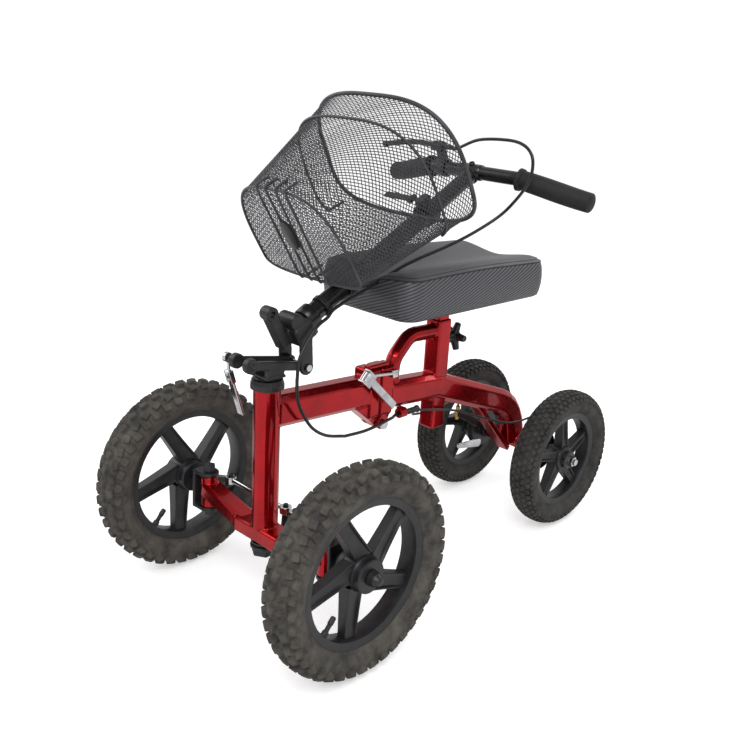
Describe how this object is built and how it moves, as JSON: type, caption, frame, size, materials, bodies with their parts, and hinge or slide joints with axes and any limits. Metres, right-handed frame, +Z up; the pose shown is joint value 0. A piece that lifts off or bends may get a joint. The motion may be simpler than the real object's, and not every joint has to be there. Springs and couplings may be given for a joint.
{
  "type": "knee scooter",
  "caption": "All-terrain knee scooter with a red folding frame, spoked wheels, padded knee rest, mesh basket and its steering stem laid back over the pad.",
  "frame": {"origin": "the ground under the middle of the scooter's plan", "axes": "+Z up, front of the scooter towards -Y, rider's left towards +X"},
  "size_m": [0.487, 0.8866, 0.7611],
  "materials": {
    "red_paint": "gloss",
    "black_coat": "satin",
    "black_plastic": "satin",
    "cable_jacket": "satin",
    "polished_steel": "polished",
    "aluminium": "satin",
    "yellow_zinc": "satin",
    "tyre_rubber": "matte",
    "grip_rubber": "matte",
    "pad_vinyl": "matte"
  },
  "bodies": {
    "rear_frame": {"rear_frame": "red_paint", "frame_fold_pin": "polished_steel", "rear_axle": "polished_steel", "cable_boss": "red_paint", "rear_brake_plate_L": "black_coat", "rear_brake_plate_R": "black_coat", "rear_brake_adjuster_L": "yellow_zinc", "rear_brake_adjuster_R": "yellow_zinc", "frame_latch_bolt": "polished_steel", "frame_latch_catch": "red_paint", "brake_cable_rear": "cable_jacket"},
    "front_frame": {"front_frame": "red_paint", "headset_cup_upper": "black_coat", "headset_cup_lower": "black_coat", "brake_cable_front": "cable_jacket"},
    "frame_latch": {"frame_latch_lever": "aluminium"},
    "seat": {"seat_post": "red_paint", "seat_plate": "black_coat", "knee_pad": "pad_vinyl"},
    "seat_knob": {"seat_knob": "black_plastic"},
    "steerer": {"steerer": "black_coat", "stem_base": "black_coat", "stem_fold_pin": "polished_steel", "brake_cable_steerer": "cable_jacket"},
    "stem_lower": {"stem_link": "black_coat", "stem_outer_tube": "black_coat", "cable_clip": "black_plastic", "height_clamp": "black_coat", "basket": "black_coat", "basket_rim": "black_coat", "basket_bracket": "black_coat", "brake_cable_stem": "cable_jacket"},
    "stem_upper": {"stem_inner_tube": "black_coat", "handlebar": "black_coat", "grip_L": "grip_rubber", "grip_R": "grip_rubber", "brake_bracket": "black_coat", "brake_cable_upper": "cable_jacket"},
    "height_lever": {"height_lever": "aluminium"},
    "brake_lever": {"brake_lever": "black_coat"},
    "stem_latch_link": {"stem_latch_link": "polished_steel"},
    "stem_latch_lever": {"stem_latch_lever": "polished_steel"},
    "knuckle_L": {"knuckle_L": "black_coat", "kingpin_L": "black_plastic", "axle_cap_L": "black_plastic"},
    "tie_rod_L": {"tie_rod_L": "polished_steel"},
    "front_wheel_L": {"front_tyre_L": "tyre_rubber", "front_rim_L": "black_plastic"},
    "rear_wheel_L": {"rear_tyre_L": "tyre_rubber", "rear_rim_L": "black_plastic"},
    "rear_brake_arm_L": {"rear_brake_arm_L": "aluminium"},
    "knuckle_R": {"knuckle_R": "black_coat", "kingpin_R": "black_plastic", "axle_cap_R": "black_plastic"},
    "tie_rod_R": {"tie_rod_R": "polished_steel"},
    "front_wheel_R": {"front_tyre_R": "tyre_rubber", "front_rim_R": "black_plastic"},
    "rear_wheel_R": {"rear_tyre_R": "tyre_rubber", "rear_rim_R": "black_plastic"},
    "rear_brake_arm_R": {"rear_brake_arm_R": "aluminium"}
  },
  "joints": [
    {"name": "frame_fold", "type": "hinge", "parent": "rear_frame", "child": "front_frame", "pos_m": [0, -0.06625, 0.2545], "axis": [1, 0, 0], "range_deg": [0, 80]},
    {"name": "frame_latch", "type": "hinge", "parent": "rear_frame", "child": "frame_latch", "pos_m": [0.0262, -0.12025, 0.348], "axis": [0, -0.6894, -0.7244], "range_deg": [0, 110]},
    {"name": "seat_height", "type": "slide", "parent": "rear_frame", "child": "seat", "axis": [0, 0, 1], "range_m": [-0.012, 0]},
    {"name": "seat_knob_turn", "type": "hinge", "parent": "rear_frame", "child": "seat_knob", "pos_m": [0, 0.10625, 0.366], "axis": [0, 1, 0], "continuous": true},
    {"name": "steer", "type": "hinge", "parent": "front_frame", "child": "steerer", "pos_m": [0, -0.28825, 0.143], "axis": [0, 0, 1], "range_deg": [-25, 25]},
    {"name": "stem_fold", "type": "hinge", "parent": "steerer", "child": "stem_lower", "pos_m": [0, -0.23625, 0.3845], "axis": [1, 0, 0], "range_deg": [0, 47.35]},
    {"name": "stem_height", "type": "slide", "parent": "stem_lower", "child": "stem_upper", "axis": [0, 0.8776, 0.4795], "range_m": [0, 0.09]},
    {"name": "height_lever_swing", "type": "hinge", "parent": "stem_lower", "child": "height_lever", "pos_m": [-0.0235, 0.01525, 0.60107], "axis": [0, 0.8776, 0.4795], "range_deg": [0, 80]},
    {"name": "brake_squeeze", "type": "hinge", "parent": "stem_upper", "child": "brake_lever", "pos_m": [-0.071, 0.11703, 0.67548], "axis": [0, 0.8776, 0.4795], "range_deg": [-13, 0], "stiffness_Nm_per_rad": 0.6},
    {"name": "stem_latch_link_swing", "type": "hinge", "parent": "steerer", "child": "stem_latch_link", "pos_m": [-0.036, -0.33125, 0.402], "axis": [1, 0, 0], "range_deg": [-80, 0]},
    {"name": "stem_latch_lever_swing", "type": "hinge", "parent": "stem_latch_link", "child": "stem_latch_lever", "pos_m": [-0.036, -0.32825, 0.378], "axis": [1, 0, 0], "range_deg": [-110, 0]},
    {"name": "knuckle_turn_L", "type": "hinge", "parent": "front_frame", "child": "knuckle_L", "pos_m": [0.138, -0.28825, 0.155], "axis": [0, 0, 1], "range_deg": [-25, 25]},
    {"name": "tie_rod_swing_L", "type": "hinge", "parent": "steerer", "child": "tie_rod_L", "pos_m": [0.011, -0.23825, 0.146], "axis": [0, 0, 1], "range_deg": [-25, 25]},
    {"name": "front_wheel_spin_L", "type": "hinge", "parent": "knuckle_L", "child": "front_wheel_L", "pos_m": [0.201, -0.28825, 0.155], "axis": [1, 0, 0], "continuous": true},
    {"name": "rear_wheel_spin_L", "type": "hinge", "parent": "rear_frame", "child": "rear_wheel_L", "pos_m": [0.112, 0.31625, 0.127], "axis": [1, 0, 0], "continuous": true},
    {"name": "rear_brake_arm_pull_L", "type": "hinge", "parent": "rear_frame", "child": "rear_brake_arm_L", "pos_m": [0.0545, 0.34625, 0.107], "axis": [1, 0, 0], "range_deg": [0, 8]},
    {"name": "knuckle_turn_R", "type": "hinge", "parent": "front_frame", "child": "knuckle_R", "pos_m": [-0.138, -0.28825, 0.155], "axis": [0, 0, 1], "range_deg": [-25, 25]},
    {"name": "tie_rod_swing_R", "type": "hinge", "parent": "steerer", "child": "tie_rod_R", "pos_m": [-0.011, -0.23825, 0.146], "axis": [0, 0, 1], "range_deg": [-25, 25]},
    {"name": "front_wheel_spin_R", "type": "hinge", "parent": "knuckle_R", "child": "front_wheel_R", "pos_m": [-0.201, -0.28825, 0.155], "axis": [1, 0, 0], "continuous": true},
    {"name": "rear_wheel_spin_R", "type": "hinge", "parent": "rear_frame", "child": "rear_wheel_R", "pos_m": [-0.112, 0.31625, 0.127], "axis": [1, 0, 0], "continuous": true},
    {"name": "rear_brake_arm_pull_R", "type": "hinge", "parent": "rear_frame", "child": "rear_brake_arm_R", "pos_m": [-0.0545, 0.28625, 0.107], "axis": [1, 0, 0], "range_deg": [-8, 0]}
  ],
  "couplings": [
    {"joint": "knuckle_turn_L", "follows": "steer", "ratio": 1},
    {"joint": "tie_rod_swing_L", "follows": "steer", "ratio": -1},
    {"joint": "rear_brake_arm_pull_L", "follows": "brake_squeeze", "ratio": -0.6},
    {"joint": "knuckle_turn_R", "follows": "steer", "ratio": 1},
    {"joint": "tie_rod_swing_R", "follows": "steer", "ratio": -1},
    {"joint": "rear_brake_arm_pull_R", "follows": "brake_squeeze", "ratio": 0.6}
  ]
}
